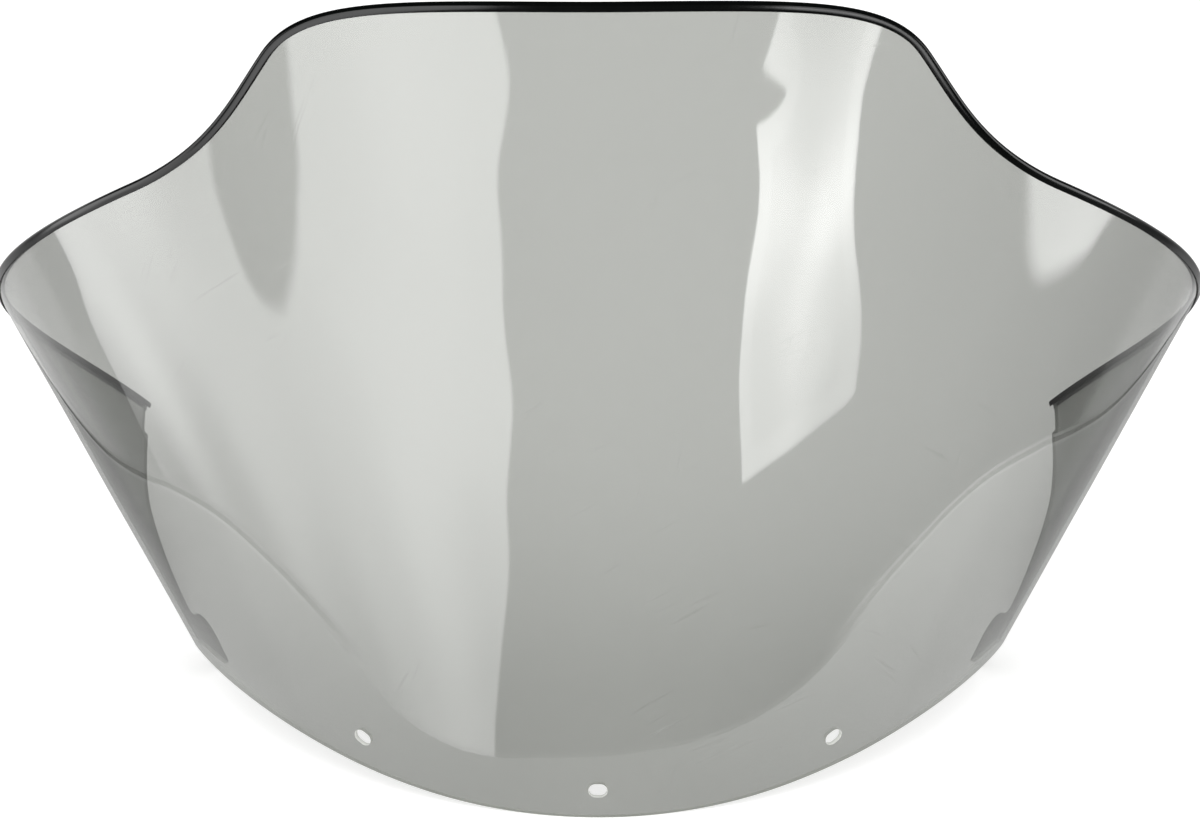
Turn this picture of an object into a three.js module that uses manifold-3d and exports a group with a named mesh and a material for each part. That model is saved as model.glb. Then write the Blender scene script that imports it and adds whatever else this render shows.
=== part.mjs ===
// Smoked wrap-around windshield: one bent sheet of polycarbonate with a push-on edge trim.
// Millimetres, +Z up, the convex front faces -Y. The screen stands on the middle of its lower
// edge and on the tips of its two rear tabs.
//
// The sheet is a cone with its point below the floor. A place on it is given by two numbers:
// s, the length along the U-shaped plan curve at floor level, and z, the height above the floor.
import * as THREE from 'three';
import { mergeVertices } from 'three/addons/utils/BufferGeometryUtils.js';
import Module from 'manifold-3d';

// ---- driving dimensions ----
const CONE_POINT = new THREE.Vector3(0, 20, -476);   // where all the straight lines of the bend meet
const SHEET_THICKNESS = 3.2;
const STATION_STEP = 6;                              // facet width at floor level
const LAST_STATION = 504;                            // s at the rear top corner of each wing
const FRAME_SHIFT = new THREE.Vector3(0, -200.3, 0.07); // puts the origin at the box's bottom centre

const SLOT_LENGTH = 13;
const SLOT_WIDTH = 10;
const CENTRE_SLOT = { s: 0, z: 22, tilt: 0 };
const SIDE_SLOT = { s: 162, z: 43, tilt: 30 };       // outer end raised by the tilt, in degrees
const LAND_HALF_WIDTH = 12;                          // flat land around each slot, along s
const LAND_RISE = 18;                                // flat land above the slot's centre
const LAND_BLEND = 8;                                // height over which the land melts into the bend

const TRIM_CLEARANCE = 0.3;                          // all round the sheet, inside the channel
const TRIM_WALL = 1.4;
const TRIM_CROWN = 1.6;                              // thickness over the edge of the sheet
const TRIM_GRIP = 4.6;                               // how far the legs reach down the sheet
const TRIM_SHOULDER = -0.2;                          // where the crown's arch begins, beside the edge
const TRIM_ARC_STEPS = 8;

const PLAN_DIVISIONS = 1000;
const OUTLINE_DIVISIONS = 200;                       // points on each curve of the upper and lower edge
const REAR_DIVISIONS = 10;                           // points on each curve of the rear edge
const CUTTER_REACH = 530;                            // s well behind the last station
const CUTTER_COLUMNS = 12;
const CUTTER_HALF_DEPTH = 12;                        // well past both faces of the sheet
const SLOT_ARC_STEPS = 10;
const MERGE_DISTANCE = 1e-4;

// ---- the bend ----
// Right half of the plan curve at floor level, from the front centre to the end of the wing.
const plan = new THREE.CubicBezierCurve(
  new THREE.Vector2(0, 0),
  new THREE.Vector2(165, 0),
  new THREE.Vector2(348, 140),
  new THREE.Vector2(273, 341),
);
plan.arcLengthDivisions = PLAN_DIVISIONS;
const PLAN_LENGTH = plan.getLength();

// Past its end the plan curve runs on straight.
function planAt(s) {
  const side = s < 0 ? -1 : 1;
  const along = Math.min(Math.abs(s) / PLAN_LENGTH, 1);
  const past = Math.max(Math.abs(s) - PLAN_LENGTH, 0);
  const tangent = plan.getTangentAt(along);
  const point = plan.getPointAt(along).addScaledVector(tangent, past);
  return {
    point: new THREE.Vector3(side * point.x, point.y, 0),
    tangent: new THREE.Vector3(tangent.x, side * tangent.y, 0),
  };
}

// The outward normal is the same all along one straight line of the cone.
function normalAt(s) {
  const { point, tangent } = planAt(s);
  return tangent.cross(point.sub(CONE_POINT)).normalize();
}

function onCone(s, z, offset) {
  const ruling = planAt(s).point.sub(CONE_POINT);
  const place = CONE_POINT.clone().addScaledVector(ruling, 1 + z / -CONE_POINT.z);
  return place.addScaledVector(normalAt(s), offset);
}

// ---- flat lands at the slots ----
const slots = [
  CENTRE_SLOT,
  SIDE_SLOT,
  { s: -SIDE_SLOT.s, z: SIDE_SLOT.z, tilt: -SIDE_SLOT.tilt },
];

function onSheet(s, z, offset) {
  const slot = slots.find((one) => Math.abs(s - one.s) < LAND_HALF_WIDTH && z <= one.z + LAND_RISE);
  if (!slot) {
    return onCone(s, z, offset);
  }
  const from = onCone(slot.s - LAND_HALF_WIDTH, z, offset);
  const to = onCone(slot.s + LAND_HALF_WIDTH, z, offset);
  return from.lerp(to, (s - slot.s + LAND_HALF_WIDTH) / (2 * LAND_HALF_WIDTH));
}

// ---- outlines, as (s, z), right half ----
const topEdge = new THREE.Path();
topEdge.moveTo(0, 603);
topEdge.bezierCurveTo(59, 603, 86, 600, 103, 560);       // flat crest and shoulder
topEdge.bezierCurveTo(119.5, 521, 132.5, 486, 171.5, 452); // hollow below the shoulder
topEdge.bezierCurveTo(249, 385, 463, 203, 504, 152);     // long fall along the wing

const lowerEdge = new THREE.Path();
lowerEdge.moveTo(0, 0);
lowerEdge.bezierCurveTo(85, 0, 135, 9.1, 200, 25);       // shallow bow across the front
lowerEdge.bezierCurveTo(240, 34.8, 295, 49.5, 330, 49.5); // rise to the arch under the wing
lowerEdge.bezierCurveTo(348, 49.5, 364, 43.6, 380, 37);
lowerEdge.bezierCurveTo(402, 28, 416, 10, 432, 0.8);     // down to the tip of the tab
lowerEdge.lineTo(520, 0.8);

const rearEdge = new THREE.Path();
rearEdge.moveTo(432, -12);
rearEdge.lineTo(432, 0.8);
rearEdge.lineTo(434, 16);                                // straight back of the tab
rearEdge.bezierCurveTo(435, 27, 429, 37.5, 416, 41);     // shoulder of the tab
rearEdge.bezierCurveTo(409, 43, 404, 45, 403, 50);       // fillet above the tab
rearEdge.bezierCurveTo(405, 62, 421, 86, 437, 104);      // rear edge of the wing
rearEdge.bezierCurveTo(445, 113, 462, 122, 486, 138);
rearEdge.lineTo(484, 141.5);                             // small step below the end of the trim
rearEdge.lineTo(494, 149);
rearEdge.lineTo(506, 158);

function heightAt(points, s) {
  const after = Math.max(points.findIndex((point) => point.x >= Math.abs(s)), 1);
  const [low, high] = [points[after - 1], points[after]];
  return low.y + (high.y - low.y) * (Math.abs(s) - low.x) / (high.x - low.x);
}

const topPoints = topEdge.getPoints(OUTLINE_DIVISIONS);
const lowerPoints = lowerEdge.getPoints(OUTLINE_DIVISIONS);

// ---- solids ----
function geometryFrom(vertices, triangles) {
  const geometry = new THREE.BufferGeometry();
  const numbers = vertices.flatMap((vertex) => vertex.toArray());
  geometry.setAttribute('position', new THREE.Float32BufferAttribute(numbers, 3));
  geometry.setIndex(triangles);
  return geometry;
}

// A closed shell over a grid of (s, z) nodes: an outer face, an inner face and a wall all round.
function bentSolid(grid, inner, outer) {
  const rows = grid.length;
  const columns = grid[0].length;
  const vertices = [outer, inner].flatMap(
    (offset) => grid.flatMap((row) => row.map(({ s, z }) => onSheet(s, z, offset))),
  );
  const half = rows * columns;
  const triangles = [];
  for (let r = 0; r + 1 < rows; r += 1) {
    for (let c = 0; c + 1 < columns; c += 1) {
      const a = r * columns + c;
      const b = a + 1;
      const d = a + columns;
      const e = d + 1;
      triangles.push(a, b, e, a, e, d);
      triangles.push(half + a, half + e, half + b, half + a, half + d, half + e);
    }
  }
  const rim = [];
  for (let c = 0; c < columns; c += 1) rim.push(c);
  for (let r = 1; r < rows; r += 1) rim.push(r * columns + columns - 1);
  for (let c = columns - 2; c >= 0; c -= 1) rim.push((rows - 1) * columns + c);
  for (let r = rows - 2; r > 0; r -= 1) rim.push(r * columns);
  rim.forEach((from, index) => {
    const to = rim[(index + 1) % rim.length];
    triangles.push(from, half + to, to, from, half + from, half + to);
  });
  return geometryFrom(vertices, triangles);
}

function stations() {
  const count = LAST_STATION / STATION_STEP;
  return Array.from({ length: 2 * count + 1 }, (_, index) => (index - count) * STATION_STEP);
}

// Rows of the sheet: lower edge, top of the lands, end of their blend, top edge.
function sheetBlank() {
  const landTop = SIDE_SLOT.z + LAND_RISE;
  const centreTop = CENTRE_SLOT.z + LAND_RISE;
  const level = (s) => (Math.abs(s) <= LAND_HALF_WIDTH ? centreTop : landTop);
  const grid = [
    stations().map((s) => ({ s, z: heightAt(lowerPoints, s) })),
    stations().map((s) => ({ s, z: level(s) })),
    stations().map((s) => ({ s, z: level(s) + LAND_BLEND })),
    stations().map((s) => ({ s, z: heightAt(topPoints, s) })),
  ];
  return bentSolid(grid, -SHEET_THICKNESS / 2, SHEET_THICKNESS / 2);
}

// Everything behind the rear edge of one wing, cut away above, below and around the tab.
function wingCutter(side) {
  const grid = rearEdge.getPoints(REAR_DIVISIONS).map(({ x, y }) => (
    Array.from({ length: CUTTER_COLUMNS + 1 }, (_, c) => ({
      s: side * (x + (CUTTER_REACH - x) * c / CUTTER_COLUMNS),
      z: y,
    }))
  ));
  if (side < 0) {
    grid.forEach((row) => row.reverse());
  }
  return bentSolid(grid, -CUTTER_HALF_DEPTH, CUTTER_HALF_DEPTH);
}

function slotCutter({ s, z, tilt }) {
  const radius = SLOT_WIDTH / 2;
  const reach = (SLOT_LENGTH - SLOT_WIDTH) / 2;
  const outline = new THREE.Shape();
  outline.absarc(reach, 0, radius, -Math.PI / 2, Math.PI / 2);
  outline.absarc(-reach, 0, radius, Math.PI / 2, 3 * Math.PI / 2);
  const depth = 2 * CUTTER_HALF_DEPTH;
  const shape = { depth, bevelEnabled: false, curveSegments: SLOT_ARC_STEPS };
  const geometry = new THREE.ExtrudeGeometry(outline, shape);
  geometry.translate(0, 0, -depth / 2);
  geometry.rotateZ(THREE.MathUtils.degToRad(tilt));
  const normal = normalAt(s);
  const across = new THREE.Vector3(-normal.y, normal.x, 0).normalize();
  const up = normal.clone().cross(across);
  geometry.applyMatrix4(new THREE.Matrix4().makeBasis(across, up, normal));
  const { x, y, z: height } = onSheet(s, z, 0);
  return geometry.translate(x, y, height);
}

// ---- joins and cuts ----
const wasm = await Module();
wasm.setup();

function solidOf(geometry) {
  const bare = geometry.clone();
  bare.deleteAttribute('normal');
  bare.deleteAttribute('uv');
  const merged = mergeVertices(bare, MERGE_DISTANCE);
  return new wasm.Manifold(new wasm.Mesh({
    numProp: 3,
    vertProperties: new Float32Array(merged.attributes.position.array),
    triVerts: new Uint32Array(merged.index.array),
  }));
}

function geometryOf(solid) {
  const { vertProperties, triVerts } = solid.getMesh();
  const geometry = new THREE.BufferGeometry();
  geometry.setAttribute('position', new THREE.BufferAttribute(vertProperties, 3));
  geometry.setIndex(new THREE.BufferAttribute(triVerts, 1));
  return geometry;
}

function screenGeometry() {
  const cutters = [wingCutter(1), wingCutter(-1), ...slots.map(slotCutter)];
  const sheet = cutters.reduce((left, cutter) => left.subtract(solidOf(cutter)), solidOf(sheetBlank()));
  return geometryOf(sheet);
}

// ---- edge trim ----
// Section of the channel: x along the sheet's outward normal, y away from the sheet's edge.
function trimSection() {
  const slot = SHEET_THICKNESS / 2 + TRIM_CLEARANCE;
  const side = slot + TRIM_WALL;
  const crown = TRIM_CLEARANCE + TRIM_CROWN;
  const arch = Array.from({ length: TRIM_ARC_STEPS + 1 }, (_, step) => {
    const angle = Math.PI * step / TRIM_ARC_STEPS;
    const height = TRIM_SHOULDER + (crown - TRIM_SHOULDER) * Math.sin(angle);
    return new THREE.Vector2(side * Math.cos(angle), height);
  });
  return [
    new THREE.Vector2(side, -TRIM_GRIP),
    ...arch,
    new THREE.Vector2(-side, -TRIM_GRIP),
    new THREE.Vector2(-slot, -TRIM_GRIP),
    new THREE.Vector2(-slot, TRIM_CLEARANCE),
    new THREE.Vector2(slot, TRIM_CLEARANCE),
    new THREE.Vector2(slot, -TRIM_GRIP),
  ];
}

function onTopEdge(s) {
  return onCone(s, heightAt(topPoints, s), 0);
}

// The section rides along the top edge, square to it, and is closed at both cut ends.
function trimGeometry() {
  const section = trimSection();
  const places = stations();
  const vertices = places.flatMap((s) => {
    const ahead = onTopEdge(Math.min(s + 1, LAST_STATION));
    const along = ahead.sub(onTopEdge(Math.max(s - 1, -LAST_STATION))).normalize();
    const normal = normalAt(s);
    const away = normal.clone().cross(along).normalize();
    return section.map(({ x, y }) => onTopEdge(s).addScaledVector(normal, x).addScaledVector(away, y));
  });
  const count = section.length;
  const triangles = [];
  for (let p = 0; p + 1 < places.length; p += 1) {
    for (let i = 0; i < count; i += 1) {
      const a = p * count + i;
      const b = p * count + (i + 1) % count;
      triangles.push(a, b + count, b, a, a + count, b + count);
    }
  }
  const last = (places.length - 1) * count;
  THREE.ShapeUtils.triangulateShape(section, []).forEach(([a, b, c]) => {
    triangles.push(a, b, c, last + a, last + c, last + b);
  });
  return geometryFrom(vertices, triangles);
}

// ---- assembly ----
function smokedPolycarbonate() {
  return new THREE.MeshStandardMaterial({
    color: 0x8a8d86,
    roughness: 0.05,
    metalness: 0,
    transparent: true,
    opacity: 0.45,
  });
}

function glossBlackVinyl() {
  return new THREE.MeshStandardMaterial({ color: 0x0b0c0d, roughness: 0.25, metalness: 0 });
}

function namedMesh(name, geometry, material) {
  const mesh = new THREE.Mesh(geometry, material);
  mesh.name = name;
  return mesh;
}

const windshield = new THREE.Group();
windshield.name = 'windshield';
windshield.add(namedMesh('screen', screenGeometry(), smokedPolycarbonate()));
windshield.add(namedMesh('edge_trim', trimGeometry(), glossBlackVinyl()));
windshield.position.copy(FRAME_SHIFT);

export default windshield;
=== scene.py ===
import math

import bpy
import numpy as np
from mathutils import Matrix, Vector
from mathutils.geometry import delaunay_2d_cdt


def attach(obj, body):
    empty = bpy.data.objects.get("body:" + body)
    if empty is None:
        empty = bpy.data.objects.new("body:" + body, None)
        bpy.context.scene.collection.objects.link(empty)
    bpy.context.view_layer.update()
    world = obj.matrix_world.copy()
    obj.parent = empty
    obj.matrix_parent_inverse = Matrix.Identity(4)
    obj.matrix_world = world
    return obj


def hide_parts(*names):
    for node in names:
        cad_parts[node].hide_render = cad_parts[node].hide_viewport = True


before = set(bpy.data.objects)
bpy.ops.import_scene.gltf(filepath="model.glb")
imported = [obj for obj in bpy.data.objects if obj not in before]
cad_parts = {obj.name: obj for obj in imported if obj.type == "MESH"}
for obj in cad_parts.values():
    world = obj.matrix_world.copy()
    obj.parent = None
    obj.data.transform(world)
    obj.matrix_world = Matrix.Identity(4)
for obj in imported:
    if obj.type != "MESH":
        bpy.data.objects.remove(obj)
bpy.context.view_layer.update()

MM = 0.001

# ---- the bend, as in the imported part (millimetres) ----
CONE_POINT = np.array([0.0, 20.0, -476.0])
FRAME_SHIFT = np.array([0.0, -200.3, 0.07])
PLAN_CONTROLS = np.array([[0.0, 0.0], [165.0, 0.0], [348.0, 140.0], [273.0, 341.0]])
PLAN_STEPS = 4000
SHEET_THICKNESS = 3.2

# ---- forming ripple: (height, length across, length up, phase across, phase up) ----
RIPPLES = (
    (0.16, 230.0, 190.0, 0.6, 0.2),
    (0.09, 140.0, 310.0, 2.1, 1.3),
    (0.05, 95.0, 120.0, 4.0, 2.2),
)

# ---- slots ----
SLOT_LENGTH = 13.0
SLOT_WIDTH = 10.0
SLOTS = ((0.0, 22.0, 0.0), (162.0, 43.0, 30.0), (-162.0, 43.0, -30.0))  # s, z, tilt in degrees
SLOT_ARC_STEPS = 20

# ---- sheet mesh ----
EDGE_RADIUS = 0.45           # rounding of every cut edge
EDGE_ARC_STEPS = 4
OUTLINE_STEP = 4.0
GRID_ACROSS = 5.0
GRID_UP = 9.5
GRID_COLUMNS = 102           # to each side of the middle
GRID_MARGIN = 3.0            # free strip between the grid and the outline
WELD_DISTANCE = 1e-7
CORNER_STEPS = 6
CORNER_REACH = {"tab_tip": 2.2, "tab_neck": 3.0, "step": 1.0, "rear_top": 2.0}

# ---- trim ----
TRIM_CLEARANCE = 0.3
TRIM_HALF_WIDTH = 3.15
TRIM_SHOULDER = -0.2
TRIM_CROWN = 1.88
TRIM_GRIP = 4.58
TRIM_LIP_RADIUS = 0.45
TRIM_LIP_STEPS = 8
TRIM_LEG_CURL = 0.5          # how far the outer face of each leg draws in towards its lip
TRIM_LEG_STEPS = 8
TRIM_CROWN_STEPS = 20
TRIM_STEP = 2.5
TRIM_LAST_S = 504.0
TRIM_RIDGES = (-3.6, -2.2, -0.8)  # heights of the gripping ridges inside the channel
TRIM_RIDGE_RISE = 0.18
TRIM_RIDGE_BELOW = 0.5       # length of a ridge's lower slope
TRIM_RIDGE_ABOVE = 0.2       # length of its upper slope
TRIM_SHARP_ANGLE = math.radians(40)
TRIM_UV = "along_and_around"
TRIM_END_BEVEL = 0.2

# ---- camera ----
CAMERA_TARGET = Vector((0.001824, -0.0803, 0.2655))
CAMERA_DISTANCE = 2.6
CAMERA_PITCH = math.radians(21)
CAMERA_YAW = math.radians(-0.308)
CAMERA_ROLL = math.radians(-0.21)
CAMERA_LENS = 108.35
CAMERA_SENSOR = 36.0


def make_camera():
    ahead = Vector((
        math.sin(CAMERA_YAW) * math.cos(CAMERA_PITCH),
        math.cos(CAMERA_YAW) * math.cos(CAMERA_PITCH),
        -math.sin(CAMERA_PITCH),
    ))
    level_right = ahead.cross(Vector((0, 0, 1))).normalized()
    level_up = level_right.cross(ahead)
    right = level_right * math.cos(CAMERA_ROLL) + level_up * math.sin(CAMERA_ROLL)
    up = level_up * math.cos(CAMERA_ROLL) - level_right * math.sin(CAMERA_ROLL)
    data = bpy.data.cameras.new("camera")
    data.lens = CAMERA_LENS
    data.sensor_width = CAMERA_SENSOR
    camera = bpy.data.objects.new("camera", data)
    turn = Matrix((right, up, -ahead)).transposed().to_4x4()
    camera.matrix_world = Matrix.Translation(CAMERA_TARGET - ahead * CAMERA_DISTANCE) @ turn
    bpy.context.scene.collection.objects.link(camera)
    bpy.context.scene.camera = camera


# ---- the bent surface ----
def bezier(controls, steps):
    """Points of a cubic Bezier curve."""
    t = np.linspace(0, 1, steps + 1)[:, None]
    a, b, c, d = controls
    return (1 - t) ** 3 * a + 3 * (1 - t) ** 2 * t * b + 3 * (1 - t) * t * t * c + t ** 3 * d


PLAN_POINTS = bezier(PLAN_CONTROLS, PLAN_STEPS)
PLAN_LENGTHS = np.concatenate(([0], np.cumsum(np.linalg.norm(np.diff(PLAN_POINTS, axis=0), axis=1))))
PLAN_TANGENTS = np.gradient(PLAN_POINTS, PLAN_LENGTHS, axis=0)


def plan_at(s):
    """Places and directions of the plan curve, both halves."""
    side = np.where(s < 0, -1.0, 1.0)
    along = np.abs(s)
    point = [np.interp(along, PLAN_LENGTHS, PLAN_POINTS[:, i]) for i in (0, 1)]
    tangent = [np.interp(along, PLAN_LENGTHS, PLAN_TANGENTS[:, i]) for i in (0, 1)]
    zero = np.zeros_like(along)
    return (
        np.stack([side * point[0], point[1], zero], axis=-1),
        np.stack([tangent[0], side * tangent[1], zero], axis=-1),
    )


def unit(vectors):
    return vectors / np.linalg.norm(vectors, axis=-1, keepdims=True)


def ripple(s, z):
    """How far forming has pushed the sheet off its cone."""
    across = s * (1 - z / CONE_POINT[2])
    total = np.zeros_like(across)
    for height, length_across, length_up, phase_across, phase_up in RIPPLES:
        total += (height * np.sin(math.tau * across / length_across + phase_across)
                  * np.cos(math.tau * z / length_up + phase_up))
    return total


def on_sheet(s, z, offset=0.0):
    """Points of the sheet at this distance outside its middle surface, in the row frame."""
    s, z = np.asarray(s, float), np.asarray(z, float)
    point, tangent = plan_at(s)
    ruling = point - CONE_POINT
    normal = unit(np.cross(tangent, ruling))
    place = CONE_POINT + ruling * (1 - z / CONE_POINT[2])[..., None]
    return place + normal * (ripple(s, z) + offset)[..., None] + FRAME_SHIFT


def slopes_at(s, z, reach=0.5):
    """How a point of the sheet moves with s and with z."""
    s, z = np.asarray(s, float), np.asarray(z, float)
    by_s = (on_sheet(s + reach, z) - on_sheet(s - reach, z)) / (2 * reach)
    by_z = (on_sheet(s, z + reach) - on_sheet(s, z - reach)) / (2 * reach)
    return by_s, by_z


def normals_at(s, z):
    by_s, by_z = slopes_at(s, z)
    return unit(np.cross(by_s, by_z))


def steps_for(move, by_s, by_z):
    """The changes of s and z that make these small moves along the sheet."""
    a, b, c = (by_s * by_s).sum(-1), (by_s * by_z).sum(-1), (by_z * by_z).sum(-1)
    p, q = (move * by_s).sum(-1), (move * by_z).sum(-1)
    det = a * c - b * b
    return (c * p - b * q) / det, (a * q - b * p) / det


# ---- outlines in (s, z) ----
def run(start, *spans):
    """A smooth stretch of outline. A span is an end point, or two controls and an end point."""
    points = [np.array([start], float)]
    for span in spans:
        corners = np.array([points[-1][-1], *span], float)
        length = np.linalg.norm(np.diff(corners, axis=0), axis=1).sum()
        steps = max(int(length / OUTLINE_STEP), 2)
        if len(corners) == 2:
            t = np.linspace(0, 1, steps + 1)[:, None]
            points.append((corners[0] * (1 - t) + corners[1] * t)[1:])
        else:
            points.append(bezier(corners, steps)[1:])
    return np.concatenate(points)


def cut_back(points, reach):
    """The stretch without its last reach of length."""
    back = np.cumsum(np.linalg.norm(np.diff(points[::-1], axis=0), axis=1))
    first = int(np.searchsorted(back, reach))
    before = back[first - 1] if first else 0.0
    share = (reach - before) / (back[first] - before)
    inner, outer = points[-2 - first], points[-1 - first]
    return np.concatenate((points[:-1 - first], [outer + (inner - outer) * share]))


def joined(first, second, reach):
    """Two stretches with the corner between them rounded."""
    corner = first[-1]
    first = cut_back(first, reach)
    second = cut_back(second[::-1], reach)[::-1]
    t = np.linspace(0, 1, CORNER_STEPS + 1)[1:-1, None]
    arc = (1 - t) ** 2 * first[-1] + 2 * (1 - t) * t * corner + t * t * second[0]
    return np.concatenate((first, arc, second))


REAR_CORNER = (501.7, 154.8)  # where the rear edge meets the upper edge
LAST_TOP_S = 500              # the upper edge's own points end here, just before it


def top_edge():
    """Upper edge of the right half, from the crest to the rear."""
    return run(
        (0, 603),
        ((59, 603), (86, 600), (103, 560)),
        ((119.5, 521), (132.5, 486), (171.5, 452)),
        ((249, 385), (463, 203), (504, 152)),
    )


def sheet_outline():
    """The closed outline of the sheet, anticlockwise as seen from outside."""
    lower = run(
        (0, 0),
        ((85, 0), (135, 9.1), (200, 25)),
        ((240, 34.8), (295, 49.5), (330, 49.5)),
        ((348, 49.5), (364, 43.6), (380, 37)),
        ((402, 28), (416, 10), (432, 0.8)),
    )
    tab = run(
        (432, 0.8),
        ((434, 16),),
        ((435, 27), (429, 37.5), (416, 41)),
        ((409, 43), (404, 45), (403, 50)),
    )
    rear = run(
        (403, 50),
        ((405, 62), (421, 86), (437, 104)),
        ((445, 113), (462, 122), (486, 138)),
    )
    step = run((486, 138), ((484, 141.5),))
    corner = run((484, 141.5), (REAR_CORNER,))
    top = top_edge()
    top = np.concatenate((top[top[:, 0] < LAST_TOP_S], [REAR_CORNER]))[::-1]
    half = joined(lower, tab, CORNER_REACH["tab_tip"])
    half = joined(half, rear, CORNER_REACH["tab_neck"])
    half = joined(half, step, CORNER_REACH["step"])
    half = joined(half, corner, CORNER_REACH["step"])
    half = joined(half, top, CORNER_REACH["rear_top"])
    other = half[-2:0:-1] * (-1, 1)
    return np.concatenate((half, other))


def slot_outline(s, z, tilt):
    """The closed outline of one slot, clockwise as seen from outside."""
    radius, reach = SLOT_WIDTH / 2, (SLOT_LENGTH - SLOT_WIDTH) / 2
    turn = np.linspace(-math.pi / 2, math.pi / 2, SLOT_ARC_STEPS + 1)
    right = np.stack([reach + radius * np.cos(turn), radius * np.sin(turn)], axis=-1)
    shape = np.concatenate((right, -right))[::-1]
    c, d = math.cos(math.radians(tilt)), math.sin(math.radians(tilt))
    shape = shape @ np.array([[c, d], [-d, c]])
    by_s, by_z = slopes_at(s, z)
    across = unit(by_s)
    up = np.cross(normals_at(s, z), across)
    move = shape[:, :1] * across + shape[:, 1:] * up
    ds, dz = steps_for(move, by_s, by_z)
    return np.stack([s + ds, z + dz], axis=-1)


def inside(points, loop):
    """Which points lie inside a closed loop."""
    x, y = points.T
    odd = np.zeros(len(points), bool)
    for (x1, y1), (x2, y2) in zip(loop, np.roll(loop, -1, axis=0)):
        if y1 != y2:
            odd ^= ((y1 > y) != (y2 > y)) & (x < (x2 - x1) * (y - y1) / (y2 - y1) + x1)
    return odd


def far_from(points, loop, reach):
    gaps = np.linalg.norm(points[:, None, :] - loop[None, :, :], axis=-1)
    return gaps.min(axis=1) > reach


# ---- sheet mesh ----
def rim_frames(loop):
    """For each outline point: place, outward normal and the way out across the cut edge."""
    s, z = loop.T
    middle = on_sheet(s, z)
    along = unit(np.roll(middle, -1, axis=0) - np.roll(middle, 1, axis=0))
    normal = normals_at(s, z)
    return middle, normal, unit(np.cross(along, normal))


def inset_loop(loop, reach):
    """The outline moved into the sheet by reach, as (s, z)."""
    _, _, out = rim_frames(loop)
    by_s, by_z = slopes_at(*loop.T)
    ds, dz = steps_for(-reach * out, by_s, by_z)
    return loop + np.stack([ds, dz], axis=-1)


def edge_section():
    """The rounded cut edge as (way out, height, normal's share out, normal's share up)."""
    half = SHEET_THICKNESS / 2
    arc = np.linspace(math.pi / 2, 0, EDGE_ARC_STEPS + 1)
    upper = []
    for a in arc:
        out = EDGE_RADIUS * (math.cos(a) - 1)
        height = half - EDGE_RADIUS * (1 - math.sin(a))
        upper.append((out, height, math.cos(a), math.sin(a)))
    lower = [(out, -height, share_out, -share_up) for out, height, share_out, share_up in upper[::-1]]
    return upper + lower


def face_triangles(loops):
    """The sheet's flat pattern as (s, z) points and triangles. The loops' points come first."""
    rim = np.concatenate(loops)
    outline = loops[0]
    rows = np.arange(GRID_UP / 2, outline[:, 1].max(), GRID_UP)
    columns = np.arange(-GRID_COLUMNS, GRID_COLUMNS + 1) * GRID_ACROSS
    grid = np.array([
        (column + (index % 2) * GRID_ACROSS / 2, row)
        for index, row in enumerate(rows)
        for column in columns
    ])
    grid = grid[inside(grid, outline)]
    grid = grid[far_from(grid, rim, GRID_MARGIN)]
    for hole in loops[1:]:
        grid = grid[~inside(grid, hole)]
    points = np.concatenate((rim, grid))
    edges, first = [], 0
    for loop in loops:
        count = len(loop)
        edges += [(first + i, first + (i + 1) % count) for i in range(count)]
        first += count
    found = delaunay_2d_cdt([Vector(p) for p in points], edges, [], 0, WELD_DISTANCE)
    places = np.array([tuple(v) for v in found[0]])
    triangles = np.array(found[2])
    centres = places[triangles].mean(axis=1)
    keep = inside(centres, outline)
    for hole in loops[1:]:
        keep &= ~inside(centres, hole)
    order = np.array([ids[0] for ids in found[3]])
    return points, order[triangles[keep]]


def mesh_from(name, vertices, faces, normals=None, material_of=None):
    """An object at the origin from millimetre vertices."""
    mesh = bpy.data.meshes.new(name)
    mesh.from_pydata((vertices * MM).tolist(), [], [list(map(int, face)) for face in faces])
    mesh.shade_smooth()
    if material_of is not None:
        mesh.polygons.foreach_set("material_index", np.asarray(material_of, np.int32))
    mesh.validate()
    if normals is not None:
        mesh.normals_split_custom_set_from_vertices(normals.tolist())
    piece = bpy.data.objects.new(name, mesh)
    bpy.context.scene.collection.objects.link(piece)
    return piece


def make_sheet():
    loops = [sheet_outline(), *(slot_outline(*place) for place in SLOTS)]
    points, triangles = face_triangles([inset_loop(loop, EDGE_RADIUS) for loop in loops])
    s, z = points.T
    half = SHEET_THICKNESS / 2
    normal = normals_at(s, z)
    middle = on_sheet(s, z)
    vertices = [middle + normal * half, middle - normal * half]
    normals = [normal, -normal]
    count = len(points)
    faces = [*triangles.tolist(), *(triangles[:, ::-1] + count).tolist()]
    materials = [0] * len(faces)
    section = edge_section()
    total, first = 2 * count, 0
    for loop in loops:
        length = len(loop)
        place, up, out = rim_frames(loop)
        rings = [np.arange(first, first + length)]
        for way_out, height, share_out, share_up in section[1:-1]:
            rings.append(np.arange(total, total + length))
            vertices.append(place + out * way_out + up * height)
            normals.append(out * share_out + up * share_up)
            total += length
        rings.append(np.arange(first + count, first + count + length))
        for ring, lower in zip(rings, rings[1:]):
            after, lower_after = np.roll(ring, -1), np.roll(lower, -1)
            faces += np.stack([ring, lower, lower_after, after], axis=-1).tolist()
        materials += [1] * (length * (len(rings) - 1))
        first += length
    return mesh_from(
        "screen_sheet", np.concatenate(vertices), faces, unit(np.concatenate(normals)), materials
    )


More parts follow.
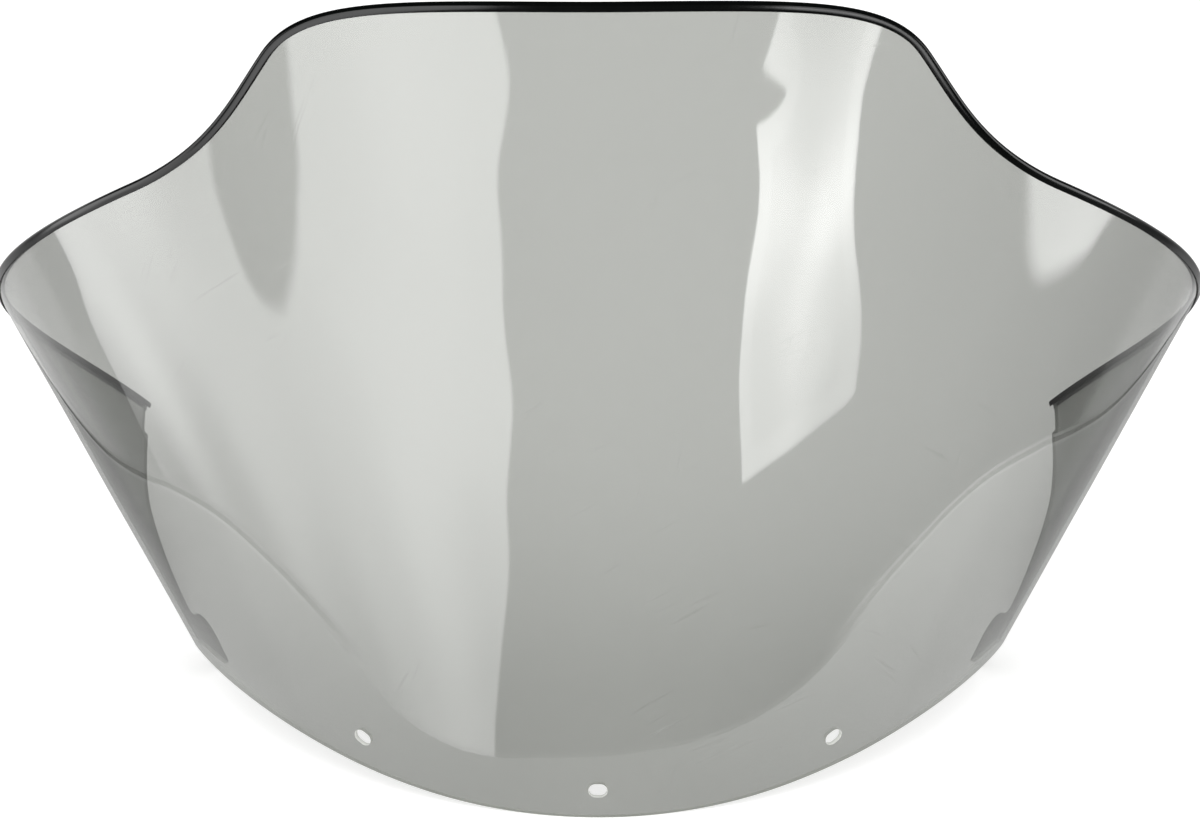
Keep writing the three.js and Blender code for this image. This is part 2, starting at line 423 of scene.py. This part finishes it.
# ---- trim mesh ----
def trim_section():
    """The channel's section: x along the sheet's outward normal, y away from the sheet's edge."""
    slot = SHEET_THICKNESS / 2 + TRIM_CLEARANCE
    crown = [
        (TRIM_HALF_WIDTH * math.cos(a), TRIM_SHOULDER + (TRIM_CROWN - TRIM_SHOULDER) * math.sin(a))
        for a in np.linspace(0, math.pi, TRIM_CROWN_STEPS + 1)
    ]
    outside = TRIM_HALF_WIDTH - TRIM_LEG_CURL
    centre = (slot + outside) / 2
    reach = (outside - slot) / 2
    lip_height = TRIM_LIP_RADIUS - TRIM_GRIP
    lip = [
        (centre + reach * math.cos(a), lip_height + TRIM_LIP_RADIUS * math.sin(a))
        for a in np.linspace(-math.pi, 0, TRIM_LIP_STEPS + 1)
    ]
    leg = [
        (TRIM_HALF_WIDTH - TRIM_LEG_CURL * t * t, TRIM_SHOULDER + (lip_height - TRIM_SHOULDER) * t)
        for t in np.linspace(1, 0, TRIM_LEG_STEPS + 1)[1:-1]
    ]
    ridges = []
    for height in TRIM_RIDGES:
        ridges += [
            (slot, height - TRIM_RIDGE_BELOW),
            (slot - TRIM_RIDGE_RISE, height),
            (slot, height + TRIM_RIDGE_ABOVE),
        ]
    right = [*lip, *leg, *crown[:1]]
    inner = [*ridges, (slot, TRIM_CLEARANCE)]
    left = [(-x, y) for x, y in right[::-1]]
    inner_left = [(-x, y) for x, y in inner]
    return np.array([*right, *crown[1:-1], *left, *inner_left, *inner[::-1]])


def shrunk(section, reach):
    """The closed section moved inwards by reach."""
    along = unit(np.roll(section, -1, axis=0) - np.roll(section, 1, axis=0))
    return section + reach * np.stack([-along[:, 1], along[:, 0]], axis=-1)


def trim_stations():
    """Even steps along the sheet's upper edge, as (s, z), and how far along it they are."""
    half = top_edge()
    whole = np.concatenate((half[:0:-1] * (-1, 1), half))
    lengths = np.linalg.norm(np.diff(on_sheet(*whole.T), axis=0), axis=1)
    along = np.concatenate(([0], np.cumsum(lengths)))
    even = np.linspace(0, along[-1], int(along[-1] / TRIM_STEP) + 1)
    even = np.concatenate(([0, TRIM_END_BEVEL], even[1:-1], [along[-1] - TRIM_END_BEVEL, along[-1]]))
    places = [np.interp(even, along, whole[:, i]) for i in (0, 1)]
    return np.stack(places, axis=-1), even


def make_trim():
    section = trim_section()
    places, lengths = trim_stations()
    middle = on_sheet(*places.T)
    along = unit(np.gradient(middle, lengths, axis=0))
    normal = normals_at(*places.T)
    away = unit(np.cross(normal, along))
    count = len(section)
    end = shrunk(section, TRIM_END_BEVEL)
    sections = [end, *[section] * (len(places) - 2), end]
    vertices = np.concatenate([
        middle[i] + shape[:, :1] * normal[i] + shape[:, 1:] * away[i] for i, shape in enumerate(sections)
    ])
    faces = []
    for p in range(len(places) - 1):
        for i in range(count):
            a, b = p * count + i, p * count + (i + 1) % count
            faces.append((a, a + count, b + count, b))
    last = (len(places) - 1) * count
    faces.append(range(count))
    faces.append(range(last + count - 1, last - 1, -1))
    piece = mesh_from("trim_channel", vertices, faces)
    piece.data.set_sharp_from_angle(angle=TRIM_SHARP_ANGLE)
    around = np.concatenate(([0], np.cumsum(np.linalg.norm(np.diff(section, axis=0), axis=1))))
    layer = piece.data.uv_layers.new(name=TRIM_UV)
    corner = np.zeros(len(piece.data.loops), np.int32)
    piece.data.loops.foreach_get("vertex_index", corner)
    uv = np.stack([lengths[corner // count], around[corner % count]], axis=-1) * MM
    layer.data.foreach_set("uv", uv.astype(np.float32).ravel())
    return piece


# ---- materials ----
WHITE = (1, 1, 1, 1)


def new_material(name):
    material = bpy.data.materials.new(name)
    material.use_nodes = True
    material.node_tree.nodes.clear()
    return material


def add(material, kind, inputs=None, **settings):
    """A shader node with its settings, and each input given as a value or as a socket to link."""
    node = material.node_tree.nodes.new("ShaderNode" + kind)
    for key, value in settings.items():
        setattr(node, key, value)
    for key, value in (inputs or {}).items():
        if isinstance(value, bpy.types.NodeSocket):
            material.node_tree.links.new(value, node.inputs[key])
        else:
            node.inputs[key].default_value = value
    return node


def finish_material(material, shader):
    add(material, "OutputMaterial", {"Surface": shader})
    return material


def ramp(material, value, low, high, to_low=0.0, to_high=1.0):
    """value's range low to high, spread over to_low to to_high."""
    node = add(material, "MapRange", {
        "Value": value, "From Min": low, "From Max": high, "To Min": to_low, "To Max": to_high,
    })
    return node.outputs["Result"]


def maths(material, operation, first, second):
    return add(material, "Math", {0: first, 1: second}, operation=operation).outputs[0]


def noise(material, place, scale, detail=2.0, roughness=0.5):
    node = add(material, "TexNoise", {
        "Vector": place, "Scale": scale, "Detail": detail, "Roughness": roughness,
    })
    return node.outputs[0]


def stretched(material, place, scale, turn=(0, 0, 0)):
    """The place turned first and stretched after."""
    node = add(material, "Mapping", {
        "Vector": place, "Scale": [1 / times for times in scale], "Rotation": turn,
    }, vector_type="TEXTURE")
    return node.outputs[0]


def colours_mixed(material, share, first, second):
    node = add(material, "Mix", {"Factor": share, "A": (*first, 1), "B": (*second, 1)}, data_type="RGBA")
    return node.outputs["Result"]


def bumped(material, height, strength, depth):
    """The normal of a surface with this height pattern, depth in metres."""
    node = add(material, "Bump", {"Strength": strength, "Distance": depth, "Height": height})
    return node.outputs[0]


def shaders_mixed(material, share, first, second):
    return add(material, "MixShader", {0: share, 1: first.outputs[0], 2: second.outputs[0]})


SCRATCH_TURNS = ((0.3, 0.2, 0.5), (1.1, -0.4, 1.9), (0.5, 0.9, -0.8))
SCRATCH_SCALE = (700, 22, 22)      # across a hairline, and along it
SCRATCH_RANGE = (0.76, 0.84)
SCRATCH_PATCHES = 7.0
SCRATCH_PATCH_RANGE = (0.50, 0.60)


def fine_scratches(material, place):
    """Hairlines from cleaning, in patches, as a mask."""
    total = 0.0
    for turn in SCRATCH_TURNS:
        lines = noise(material, stretched(material, place, SCRATCH_SCALE, turn), 1.0, 0.0)
        total = maths(material, "MAXIMUM", total, ramp(material, lines, *SCRATCH_RANGE))
    patches = ramp(material, noise(material, place, SCRATCH_PATCHES), *SCRATCH_PATCH_RANGE)
    return maths(material, "MULTIPLY", total, patches)


DUST_CELLS = 160.0
DUST_SIZE = (0.10, 0.05)           # shares of a cell at which a speck begins and is full
DUST_CHOICE = (0.965, 0.97)        # only cells with a draw above this hold a speck


def dust(material, place):
    """Scattered specks, as a mask."""
    cells = add(material, "TexVoronoi", {"Vector": place, "Scale": DUST_CELLS, "Randomness": 1.0})
    specks = ramp(material, cells.outputs["Distance"], *DUST_SIZE)
    draw = add(material, "SeparateColor", {"Color": cells.outputs["Color"]}).outputs[0]
    return maths(material, "MULTIPLY", specks, ramp(material, draw, *DUST_CHOICE))


TINT = np.array((0.661, 0.667, 0.651))  # what each face lets through, looked at square on
TINT_DRIFT = 0.015                 # how far the tint strays from place to place
OBLIQUE_TINT = 0.86                # further loss on the longer slanted path
OBLIQUE_RANGE = (0.03, 0.45)       # slants over which that loss sets in
POLYCARBONATE_IOR = 1.58
SHEET_ROUGHNESS = (0.012, 0.03)
SCRATCH_ROUGHNESS = 0.12
PEEL_STRENGTH = 0.05
PEEL_DEPTH = 0.00003
FILM_COLOUR = (0.72, 0.73, 0.70, 1)
FILM_SHARE = (0.002, 0.008)        # haze that veils the sheet
SCRATCH_FILM = 0.07
DUST_FILM = 0.25


def mirror_share(material, normal):
    """Fresnel reflection that is the same from outside and from inside the sheet."""
    back = add(material, "NewGeometry").outputs["Backfacing"]
    ior = ramp(material, back, 0.0, 1.0, POLYCARBONATE_IOR, 1 / POLYCARBONATE_IOR)
    return add(material, "Fresnel", {"IOR": ior, "Normal": normal}).outputs[0]


def smoked_polycarbonate():
    """A tinted face that mirrors and lets light through, under a thin film of haze and dust."""
    material = new_material("smoked_polycarbonate")
    place = add(material, "TexCoord").outputs["Object"]
    haze = noise(material, place, 9.0, 3.0)
    drift = noise(material, place, 3.2, 1.0)
    tint = colours_mixed(material, drift, TINT * (1 - TINT_DRIFT), TINT * (1 + TINT_DRIFT))
    slant = add(material, "LayerWeight", {"Blend": 0.5}).outputs["Facing"]
    tint = add(material, "VectorMath", {
        0: tint, "Scale": ramp(material, slant, *OBLIQUE_RANGE, 1.0, OBLIQUE_TINT),
    }, operation="SCALE")
    normal = bumped(material, noise(material, place, 38.0, 1.0), PEEL_STRENGTH, PEEL_DEPTH)
    scratches = fine_scratches(material, place)
    shine = ramp(material, haze, 0.3, 0.7, *SHEET_ROUGHNESS)
    shine = maths(material, "ADD", shine, maths(material, "MULTIPLY", scratches, SCRATCH_ROUGHNESS))
    clear = add(material, "BsdfTransparent", {"Color": tint.outputs[0]})
    gloss = add(material, "BsdfGlossy", {"Color": WHITE, "Roughness": shine, "Normal": normal})
    body = shaders_mixed(material, mirror_share(material, normal), clear, gloss)
    film = add(material, "BsdfDiffuse", {"Color": FILM_COLOUR, "Roughness": 0.5})
    scratch_marks = maths(material, "MULTIPLY", scratches, SCRATCH_FILM)
    dust_marks = maths(material, "MULTIPLY", dust(material, place), DUST_FILM)
    marks = maths(material, "MAXIMUM", scratch_marks, dust_marks)
    film_share = maths(material, "ADD", ramp(material, haze, 0.2, 0.8, *FILM_SHARE), marks)
    return finish_material(material, shaders_mixed(material, film_share, body, film).outputs[0])


CUT_EDGE_COLOURS = ((0.66, 0.68, 0.63), (0.92, 0.93, 0.90))
CUT_EDGE_CLEAR = (0.62, 0.63, 0.60, 1)
CUT_EDGE_SOLID = 0.7               # share of the edge that is not see-through
CUT_EDGE_ROUGHNESS = (0.10, 0.22)


def polished_cut_edge():
    """The routed and flame-polished edge: paler, because it glows with light from inside the sheet."""
    material = new_material("polished_cut_edge")
    place = add(material, "TexCoord").outputs["Object"]
    grain = noise(material, stretched(material, place, (60, 60, 900)), 1.0, 2.0)
    patches = noise(material, place, 26.0, 2.0)
    solid = add(material, "BsdfPrincipled", {
        "Base Color": colours_mixed(material, patches, *CUT_EDGE_COLOURS),
        "Roughness": ramp(material, patches, 0.3, 0.7, *CUT_EDGE_ROUGHNESS),
        "IOR": POLYCARBONATE_IOR,
        "Normal": bumped(material, grain, 0.25, 0.00006),
    })
    clear = add(material, "BsdfTransparent", {"Color": CUT_EDGE_CLEAR})
    return finish_material(material, shaders_mixed(material, CUT_EDGE_SOLID, clear, solid).outputs[0])


VINYL_COLOURS = ((0.0008, 0.0012, 0.0011), (0.0022, 0.0030, 0.0027))
VINYL_ROUGHNESS = (0.08, 0.14)
VINYL_LINE_ROUGHNESS = 0.06
VINYL_IOR = 1.5
VINYL_SPECULAR = 0.4


def black_vinyl():
    """Gloss black extruded vinyl: faint drawing lines along it and a light mottle."""
    material = new_material("black_vinyl")
    place = add(material, "TexCoord").outputs["Object"]
    along = add(material, "UVMap", uv_map=TRIM_UV).outputs[0]
    lines = noise(material, stretched(material, along, (6, 3200, 1)), 1.0, 2.0)
    mottle = noise(material, place, 55.0, 3.0)
    line_shine = maths(material, "MULTIPLY", lines, VINYL_LINE_ROUGHNESS)
    shine = maths(material, "ADD", ramp(material, mottle, 0.3, 0.7, *VINYL_ROUGHNESS), line_shine)
    height = maths(material, "ADD", maths(material, "MULTIPLY", lines, 0.5), mottle)
    surface = add(material, "BsdfPrincipled", {
        "Base Color": colours_mixed(material, mottle, *VINYL_COLOURS),
        "Roughness": shine,
        "IOR": VINYL_IOR,
        "Specular IOR Level": VINYL_SPECULAR,
        "Normal": bumped(material, height, 0.12, 0.0001),
    })
    return finish_material(material, surface.outputs[0])


FLOOR_HALF_WIDTH = 6.0
FLOOR_COLOURS = ((0.86, 0.86, 0.855), (0.88, 0.88, 0.875))
FLOOR_GLOW = 0.43                  # the floor is a light table: a little light comes up through it


def matte_white():
    material = new_material("pale_floor")
    place = add(material, "TexCoord").outputs["Object"]
    colour = colours_mixed(material, noise(material, place, 1.5), *FLOOR_COLOURS)
    paint = add(material, "BsdfDiffuse", {"Color": colour})
    light = add(material, "Emission", {"Color": WHITE, "Strength": FLOOR_GLOW})
    surface = add(material, "AddShader", {0: paint.outputs[0], 1: light.outputs[0]})
    return finish_material(material, surface.outputs[0])


def middle_distance_and_fade(material):
    """Distance from the middle plane, and how much of the table's light is left towards the back."""
    place = add(material, "TexCoord").outputs["Object"]
    x, y, _ = add(material, "SeparateXYZ", {"Vector": place}).outputs
    return maths(material, "ABSOLUTE", x, 0.0), ramp(material, y, *TABLE_FADE, 1.0, TABLE_FAR_GLOW)


def table_top_glow():
    material = new_material("table_top_glow")
    off_middle, fade = middle_distance_and_fade(material)
    strength = maths(material, "MULTIPLY", ramp(material, off_middle, *TABLE_SIDES, *TABLE_GLOW), fade)
    surface = add(material, "Emission", {"Color": WHITE, "Strength": strength})
    return finish_material(material, surface.outputs[0])


def table_edge_glow(name, glow):
    """The rolled edge catches light at the sides only, and is not there in the middle."""
    material = new_material(name)
    off_middle, fade = middle_distance_and_fade(material)
    strength = maths(material, "MULTIPLY", fade, glow)
    light = add(material, "Emission", {"Color": WHITE, "Strength": strength})
    nothing = add(material, "BsdfTransparent")
    surface = shaders_mixed(material, ramp(material, off_middle, *EDGE_SIDES), nothing, light)
    return finish_material(material, surface.outputs[0])


# ---- studio ----
ROOM_RADIUS = 2.0
FINE_WALL_RADIUS = 1.995     # a finer stretch of wall just in front, for the strip light
# Each stretch of wall: radius, azimuths from, to, step in degrees, heights from, to, step.
WALLS = (
    (ROOM_RADIUS, -180.0, 180.0, 0.4, -1.4, 0.75, 0.012),
    (FINE_WALL_RADIUS, 21.0, 47.0, 0.1, -0.74, -0.02, 0.0025),
)
DEGREE = math.radians(1) * ROOM_RADIUS  # length of one degree along the wall

# Places on the wall are (azimuth in degrees clockwise from the front, height in metres).
# A light has an outline, a soft border's width, and its brightness at a few places, each given
# as (azimuth, height, brightness).
LEFT_WINDOW = (
    (-14.0, 0.9), (-14.0, -0.04), (-12.7, -0.13), (-14.5, -0.23), (-14.9, -0.38), (-15.2, -0.57),
    (-18.7, -0.78), (-23.2, -0.97), (-27.1, -1.10), (-33, -1.6), (-112, -1.6), (-101, -1.06),
    (-99, -0.90), (-99, -0.74), (-95.5, -0.63), (-97, -0.5), (-97, 0.9),
)
LEFT_GLOW = (
    (-15, 0.2, 2.8), (-27, -0.2, 3.4), (-38, -0.2, 2.7), (-16, -0.5, 2.8), (-30, -0.5, 3.2),
    (-33, -0.74, 3.3), (-45, -0.9, 2.3), (-24, -0.95, 2.0), (-62, -0.3, 2.0), (-75, -0.4, 3.8),
    (-65, -0.75, 2.4), (-88, -0.7, 3.6), (-75, -0.95, 1.0), (-92, -1.05, 0.5), (-55, -1.1, 1.5),
)
CURTAIN_GAP = (
    (-38, 0.9), (-41.0, -0.14), (-42.9, -0.25), (-43.6, -0.33), (-46.1, -0.42), (-50.6, -0.52),
    (-52.4, -0.55), (-56.4, -0.545), (-58.0, -0.46), (-57.0, -0.38), (-55.0, -0.30), (-54.5, 0.9),
)
STRIP_LIGHT = (
    (24.5, 0.9), (24.4, -0.05), (23.5, -0.092), (22.4, -0.1195), (22.4, -0.1215), (24.4, -0.1361),
    (25.6, -0.1455), (25.9, -0.152), (25.7, -0.158), (25.1, -0.1645), (23.7, -0.175),
    (22.2, -0.1825), (22.1, -0.1845),
    (23.6, -0.30), (24.1, -0.42), (24.4, -0.58), (25.9, -0.69), (26.2, -0.70), (30.6, -0.68),
    (36.4, -0.67), (40.9, -0.65), (44.8, -0.632), (45.0, -0.62), (40.5, -0.48), (37.2, -0.29),
    (36.4, -0.19), (36.9, -0.15), (37.5, -0.11), (37.4, -0.07), (36.9, -0.03), (37.0, 0.9),
)
STRIP_GLOW = (
    (30, -0.02, 1.8), (30, -0.2, 3.4), (27, -0.33, 6.6), (34, -0.38, 7.8), (27, -0.5, 3.2),
    (36, -0.5, 3.2), (29, -0.62, 3.0), (40, -0.6, 2.2),
)
SIDE_LIGHT = (
    (60, 0.9), (61, -0.25), (63.5, -0.40), (69.0, -0.52), (73.0, -0.585), (76.0, -0.612),
    (81.0, -0.618), (84.6, -0.605), (85.6, -0.57), (87.5, -0.54), (94, -0.5), (94, 0.9),
)
SIDE_GLOW = ((66, -0.2, 3.2), (75, -0.4, 3.4), (79, -0.6, 4.0), (88, -0.4, 3.0))
ROOM_GLOW = (
    (0, -0.3, 0.08), (12, -0.7, 0.08), (5, -1.1, 0.12), (-48, -0.3, 0.0), (55, -0.4, 0.04),
    (67, -0.76, 0.1), (100, -0.8, 0.2), (118, -0.5, 0.5), (150, -0.5, 0.9), (-102, -0.6, 0.3),
    (-104, -0.95, 0.6), (-114, -0.6, 0.75), (-130, -0.6, 0.9), (-150, -0.5, 0.9), (180, -0.5, 0.8),
    (-180, -0.5, 0.8), (-140, -1.0, 1.0), (118, -0.92, 0.65),
)
STRIP_RIM_WIDTH = 0.06       # the strip light is brighter along its rim
STRIP_RIM_GAIN = 1.12
WINDOW_BORDER = 0.015
SOFT_BORDER = 0.03
STRIP_BORDER = 0.008
SOFT_ROUNDS = 3              # how often an outline's corners are cut
CRISP_ROUNDS = 1
WIDE_REACH = 0.25            # how far a given brightness spreads over the wall
FINE_REACH = 0.12

# ---- table top seen in reflections: its outline in metres, and the rolled edge round it ----
TABLE_OUTLINE = (
    (-0.62, 2.0), (-0.60, 0.03), (-0.571, -0.085), (-0.52, -0.16), (-0.44, -0.21), (-0.33, -0.24),
    (-0.16, -0.235), (0.0, -0.30), (0.17, -0.27), (0.31, -0.258), (0.40, -0.26), (0.48, -0.234),
    (0.565, -0.193), (0.63, -0.10), (0.66, 0.04), (0.68, 2.0),
)
TABLE_ROUNDS = 2
TABLE_HEIGHT = -0.0005
TABLE_GLOW = (0.7, 1.45)      # in the middle and at the sides
TABLE_EDGE_LAYERS = ((0.007, -0.001, 1.9), (0.017, -0.0015, 0.3), (0.024, -0.002, 1.4))
TABLE_SIDES = (0.08, 0.30)   # distance from the middle over which the top's glow changes
EDGE_SIDES = (0.30, 0.42)    # distance from the middle over which the rolled edge shows up
TABLE_FADE = (-0.14, 0.08)   # stretch towards the back over which the glow dies away
TABLE_FAR_GLOW = 0.37        # share of it that is left there


def show_only_in_reflections(piece):
    piece.visible_camera = False
    piece.visible_diffuse = False
    piece.visible_transmission = False
    piece.visible_volume_scatter = False
    piece.visible_shadow = False


def softened(loop, rounds):
    """The closed outline with its corners cut again and again."""
    loop = np.asarray(loop, float)
    for _ in range(rounds):
        after = np.roll(loop, -1, axis=0)
        loop = np.stack([0.75 * loop + 0.25 * after, 0.25 * loop + 0.75 * after], axis=1).reshape(-1, 2)
    return loop


def distance_to(points, loop):
    """Distance from each point to a closed outline."""
    nearest = np.full(len(points), np.inf)
    for start, end in zip(loop, np.roll(loop, -1, axis=0)):
        side = end - start
        share = np.clip(((points - start) @ side) / (side @ side), 0, 1)
        gap = np.linalg.norm(points - start - share[:, None] * side, axis=1)
        nearest = np.minimum(nearest, gap)
    return nearest


def blended(points, knots, reach):
    """Values given at a few places, spread smoothly over all points."""
    knots = np.array(knots, float)
    gaps = np.linalg.norm(points[:, None, :] - (knots[:, :2] * (DEGREE, 1))[None, :, :], axis=-1)
    weights = 1 / (gaps ** 2 + reach ** 2) ** 2
    return (weights @ knots[:, 2]) / weights.sum(axis=1)


def depth_in(points, outline, rounds):
    """How far inside a light's outline each wall point is, below 0 outside."""
    loop = softened(outline, rounds) * (DEGREE, 1)
    gap = distance_to(points, loop)
    return np.where(inside(points, loop), gap, -gap)


def light_share(depth, border):
    """How much of a light is seen at each depth: 1 inside, 0 outside."""
    return np.clip(0.5 + depth / border, 0, 1)


def wall_glow(points):
    """Brightness of the room's wall: a left window with a gap, a strip light and a side light."""
    window = light_share(depth_in(points, LEFT_WINDOW, SOFT_ROUNDS), WINDOW_BORDER)
    gap = light_share(depth_in(points, CURTAIN_GAP, SOFT_ROUNDS), SOFT_BORDER)
    side = light_share(depth_in(points, SIDE_LIGHT, SOFT_ROUNDS), SOFT_BORDER)
    depth = depth_in(points, STRIP_LIGHT, CRISP_ROUNDS)
    strip = light_share(depth, STRIP_BORDER)
    rim = np.where((depth > 0) & (depth < STRIP_RIM_WIDTH), STRIP_RIM_GAIN, 1.0)
    glow = blended(points, ROOM_GLOW, FINE_REACH)
    glow += window * (1 - gap) * (blended(points, LEFT_GLOW, WIDE_REACH) - glow)
    glow += strip * (blended(points, STRIP_GLOW, FINE_REACH) * rim - glow)
    glow += side * (blended(points, SIDE_GLOW, WIDE_REACH) - glow)
    return glow


def make_room():
    """Curved walls round the object with the lights, seen only in reflections."""
    material = new_material("room_in_reflections")
    strength = add(material, "Attribute", attribute_name="glow").outputs["Fac"]
    surface = add(material, "Emission", {"Color": WHITE, "Strength": strength})
    finish_material(material, surface.outputs[0])
    for index, (radius, left, right, turn_step, low, high, rise_step) in enumerate(WALLS):
        azimuths = np.linspace(left, right, round((right - left) / turn_step) + 1)
        heights = np.linspace(low, high, round((high - low) / rise_step) + 1)
        across, up = (grid.ravel() for grid in np.meshgrid(azimuths, heights))
        turn = np.radians(across)
        places = np.stack([radius * np.sin(turn), -radius * np.cos(turn), up], axis=-1)
        columns = len(azimuths)
        corner = (np.arange(len(heights) - 1)[:, None] * columns + np.arange(columns - 1)).ravel()
        faces = np.stack([corner, corner + 1, corner + columns + 1, corner + columns], axis=-1)
        wall = mesh_from(f"room_in_reflections_{index}", places / MM, faces)
        glow = wall_glow(np.stack([across * DEGREE, up], axis=-1)).astype(np.float32)
        wall.data.attributes.new("glow", "FLOAT", "POINT").data.foreach_set("value", glow)
        wall.data.materials.append(material)
        show_only_in_reflections(wall)


def table_card(name, loop, height, material):
    corners = np.column_stack([loop, np.full(len(loop), height)])
    card = mesh_from(name, corners / MM, [range(len(corners))])
    card.data.materials.append(material)
    show_only_in_reflections(card)


def make_table():
    """The table top and its rolled edge, seen only in reflections."""
    loop = softened(TABLE_OUTLINE, TABLE_ROUNDS)
    along = unit(np.roll(loop, -1, axis=0) - np.roll(loop, 1, axis=0))
    out = np.stack([along[:, 1], -along[:, 0]], axis=-1)
    table_card("table_in_reflections", loop, TABLE_HEIGHT, table_top_glow())
    for index, (reach, height, strength) in enumerate(TABLE_EDGE_LAYERS):
        name = f"table_edge_in_reflections_{index}"
        table_card(name, loop + out * reach, height, table_edge_glow(name, strength))


def make_floor():
    corners = np.array([(-1, -1, 0), (1, -1, 0), (1, 1, 0), (-1, 1, 0)]) * FLOOR_HALF_WIDTH
    floor = mesh_from("pale_floor", corners / MM, [(0, 1, 2, 3)])
    floor.data.materials.append(matte_white())
    floor.visible_glossy = False


WORLD_STRENGTH = 0.70
WORLD_SEEN = 1.58
WORLD_IN_REFLECTIONS = 0.04
SUN_STRENGTH = 1.6
SUN_HEIGHT = math.radians(50)
SUN_WIDTH = math.radians(40)


def make_world():
    """White to look at, softer as a light, and dark where the room's wall is not mirrored."""
    world = bpy.data.worlds.new("studio")
    world.use_nodes = True
    world.node_tree.nodes.clear()
    path = add(world, "LightPath").outputs
    lit = add(world, "Mix", {"Factor": path["Is Camera Ray"], "A": WORLD_STRENGTH, "B": WORLD_SEEN})
    strength = add(world, "Mix", {
        "Factor": path["Is Glossy Ray"], "A": lit.outputs[0], "B": WORLD_IN_REFLECTIONS,
    })
    background = add(world, "Background", {"Strength": strength.outputs[0]})
    add(world, "OutputWorld", {"Surface": background.outputs[0]})
    bpy.context.scene.world = world


def make_soft_light():
    """A broad soft light from the front, high up. It is not mirrored: the room's wall is."""
    data = bpy.data.lights.new("front_light", "SUN")
    data.energy = SUN_STRENGTH
    data.angle = SUN_WIDTH
    lamp = bpy.data.objects.new("front_light", data)
    lamp.rotation_euler = (math.pi / 2 - SUN_HEIGHT, 0, 0)
    lamp.visible_glossy = False
    bpy.context.scene.collection.objects.link(lamp)


# ---- assembly ----
make_camera()

sheet = make_sheet()
sheet.data.materials.append(smoked_polycarbonate())
sheet.data.materials.append(polished_cut_edge())
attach(sheet, "root")
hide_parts("screen")

trim = make_trim()
trim.data.materials.append(black_vinyl())
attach(trim, "root")
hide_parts("edge_trim")

make_floor()
make_room()
make_table()
make_world()
make_soft_light()
bpy.context.scene.view_settings.view_transform = "Standard"
